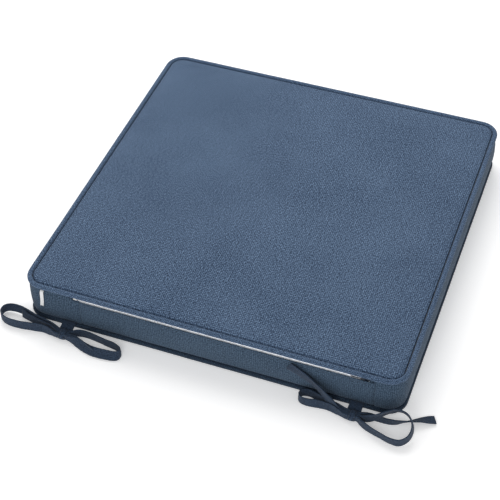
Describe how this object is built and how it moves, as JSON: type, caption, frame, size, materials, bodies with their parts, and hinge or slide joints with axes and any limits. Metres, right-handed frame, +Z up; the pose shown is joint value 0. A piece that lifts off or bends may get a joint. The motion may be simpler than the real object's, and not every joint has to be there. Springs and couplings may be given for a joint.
{
  "type": "chair seat pad",
  "caption": "Square box-edged chair seat pad in navy ribbed cloth, piped top and bottom, with a zip along the rear wall and ribbon ties knotted in bows at the rear corners.",
  "frame": {"origin": "middle of the pad's underside, on the surface it rests on", "axes": "+Z up through the pad's thickness, -Y towards the rear edge with the zip and ties, +X to the right seen from the rear edge"},
  "size_m": [0.5823, 0.5487, 0.063],
  "materials": {
    "cover_cloth": "navy plain weave with a fine slub rib and lighter flecks",
    "piping_cloth": "the same navy cloth, cut on the bias and wrapped round a cord",
    "tie_cloth": "narrow navy woven ribbon, matt",
    "filler_cord": "white soft twisted filler cord",
    "foam": "cream open-cell upholstery foam",
    "wadding": "white polyester wadding",
    "zip_tape": "navy knitted zip tape",
    "zip_teeth": "white nylon coil",
    "zip_metal": "navy enamel, worn bright at the edges",
    "label_satin": "plain white satin, unprinted"
  },
  "bodies": {
    "pad": {"top_panel": "cover_cloth", "bottom_panel": "cover_cloth", "boxing_band": "cover_cloth", "rear_boxing": "cover_cloth", "top_piping_cover": "piping_cloth", "bottom_piping_cover": "piping_cloth", "top_piping_cord": "filler_cord", "bottom_piping_cord": "filler_cord", "foam_core": "foam", "wadding_top": "wadding", "wadding_bottom": "wadding", "zip_tape_upper": "zip_tape", "zip_tape_lower": "zip_tape", "zip_teeth_upper": "zip_teeth", "zip_teeth_lower": "zip_teeth", "zip_top_stop_upper": "zip_metal", "zip_top_stop_lower": "zip_metal", "zip_bottom_stop": "zip_metal", "care_label": "label_satin", "left_tie_knot": "tie_cloth", "left_tie_stem_a": "tie_cloth", "left_tie_stem_b": "tie_cloth", "left_tie_loop_outer": "tie_cloth", "left_tie_loop_inner": "tie_cloth", "left_tie_tail_outer": "tie_cloth", "left_tie_tail_inner": "tie_cloth", "right_tie_knot": "tie_cloth", "right_tie_stem_a": "tie_cloth", "right_tie_stem_b": "tie_cloth", "right_tie_loop_outer": "tie_cloth", "right_tie_loop_inner": "tie_cloth", "right_tie_tail_outer": "tie_cloth", "right_tie_tail_inner": "tie_cloth"},
    "slider": {"zip_slider": "zip_metal"},
    "pull": {"zip_pull": "zip_metal"}
  },
  "joints": [
    {"name": "zip_slide", "type": "slide", "parent": "pad", "child": "slider", "axis": [1, 0, 0], "range_m": [-0.37, 0], "deforming": ["zip_teeth_upper", "zip_teeth_lower"]},
    {"name": "pull_hinge", "type": "hinge", "parent": "slider", "child": "pull", "pos_m": [0.203, -0.252, 0.0543], "axis": [0, 0, 1], "range_deg": [0, 165]}
  ]
}
